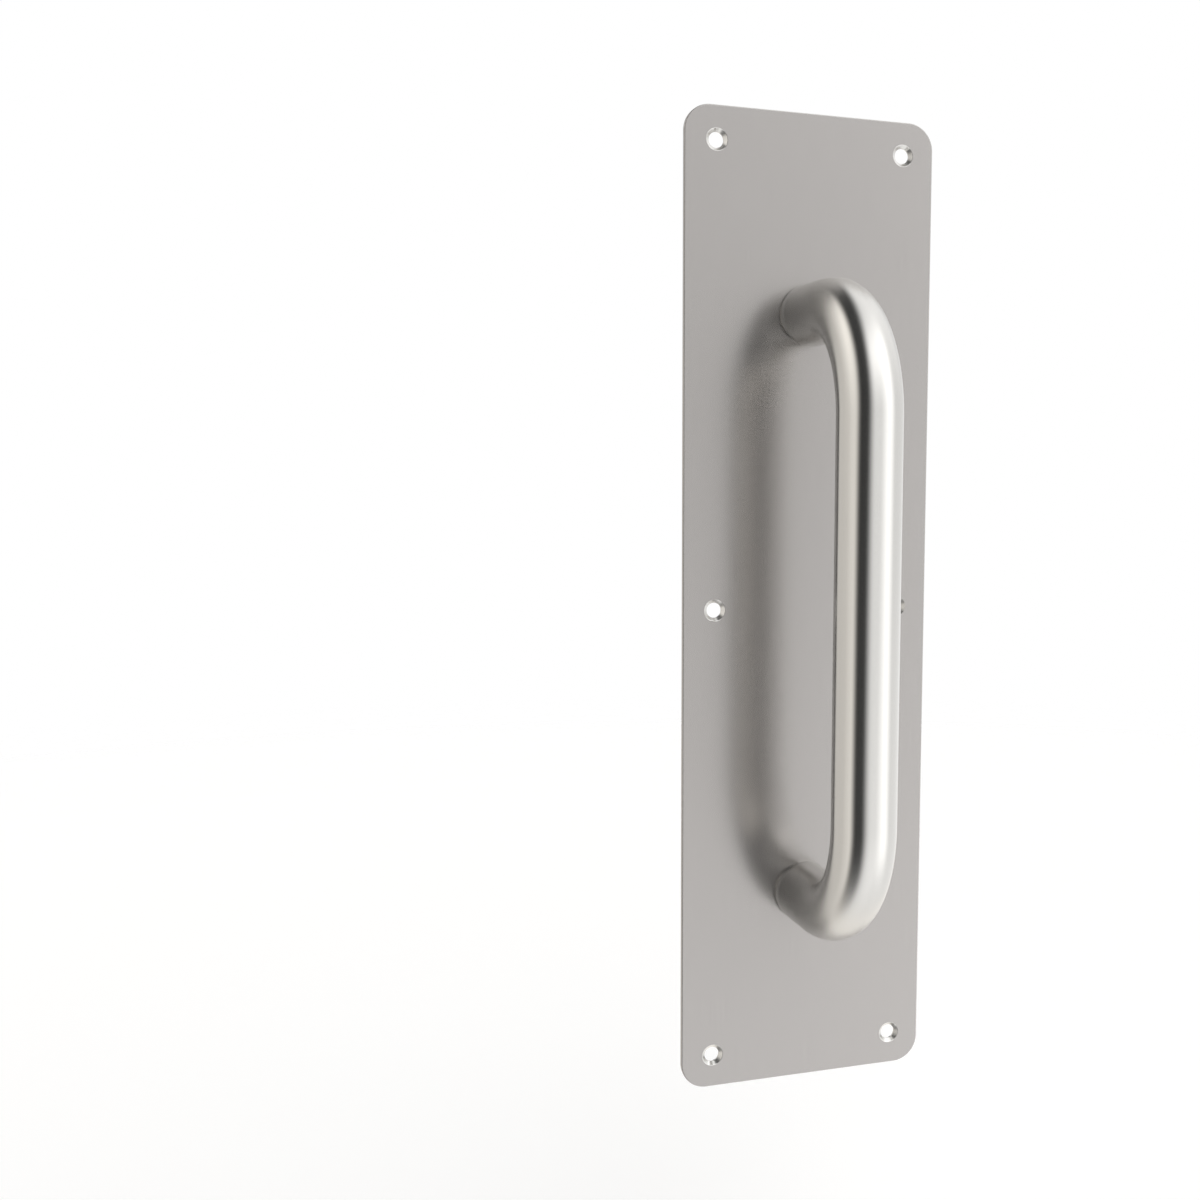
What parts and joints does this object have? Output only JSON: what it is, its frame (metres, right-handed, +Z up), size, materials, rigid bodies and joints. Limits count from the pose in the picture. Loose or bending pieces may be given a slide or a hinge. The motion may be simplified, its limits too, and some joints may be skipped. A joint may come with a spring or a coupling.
{
  "type": "door plate with pull handle",
  "caption": "Satin stainless steel door plate with rounded corners and countersunk screw holes, carrying a round bar pull handle bent to a D.",
  "frame": {"origin": "centre of the plate's flat back face, which lies against the door", "axes": "+Z up the plate, +X across it, and +Y out of the back face into the door, so the front faces -Y"},
  "size_m": [0.08, 0.0596, 0.3],
  "materials": {
    "plate_steel": "satin, with a fine grain running up the plate",
    "tube_steel": "satin, smoother than the plate, with polishing marks round the tube",
    "plug_steel": "turned",
    "screw_steel": "plain"
  },
  "bodies": {
    "root": {"back_plate": "plate_steel", "handle_tube": "tube_steel", "upper_end_plug": "plug_steel", "lower_end_plug": "plug_steel", "upper_fixing_screw": "screw_steel", "lower_fixing_screw": "screw_steel"}
  },
  "joints": []
}
